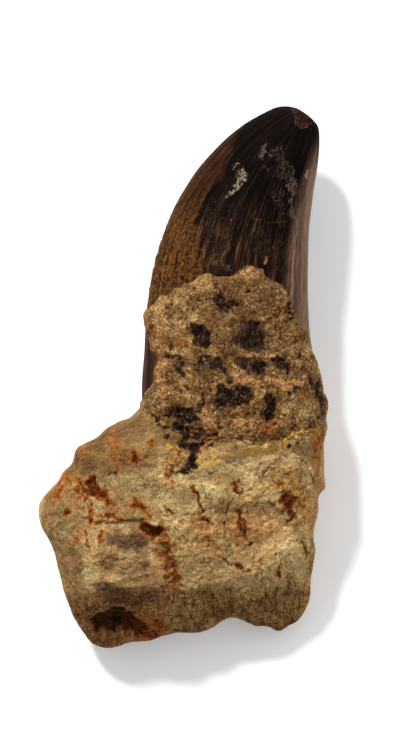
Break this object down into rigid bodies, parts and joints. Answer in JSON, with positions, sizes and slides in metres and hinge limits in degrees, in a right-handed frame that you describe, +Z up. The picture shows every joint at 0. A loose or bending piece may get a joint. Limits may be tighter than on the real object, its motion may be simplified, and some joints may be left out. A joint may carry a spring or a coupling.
{
  "type": "fossil dinosaur tooth in matrix",
  "caption": "Large curved theropod tooth with dark enamel, lying in a broken block of sandstone matrix that still crusts its lower crown.",
  "frame": {"origin": "middle of the object's box, on the surface that the rock's flat underside rests on", "axes": "+Z up from the resting face, +Y towards the tooth's tip, +X towards the tooth's hollow rear edge"},
  "size_m": [0.0723, 0.1359, 0.0337],
  "materials": {
    "enamel": "dark fossil enamel with a soft gloss, brown along the front edge, finely striated",
    "sandstone": "matte tan and greenish sandstone, rust-stained and pitted"
  },
  "bodies": {
    "root": {"tooth": "enamel", "matrix": "sandstone"}
  },
  "joints": []
}
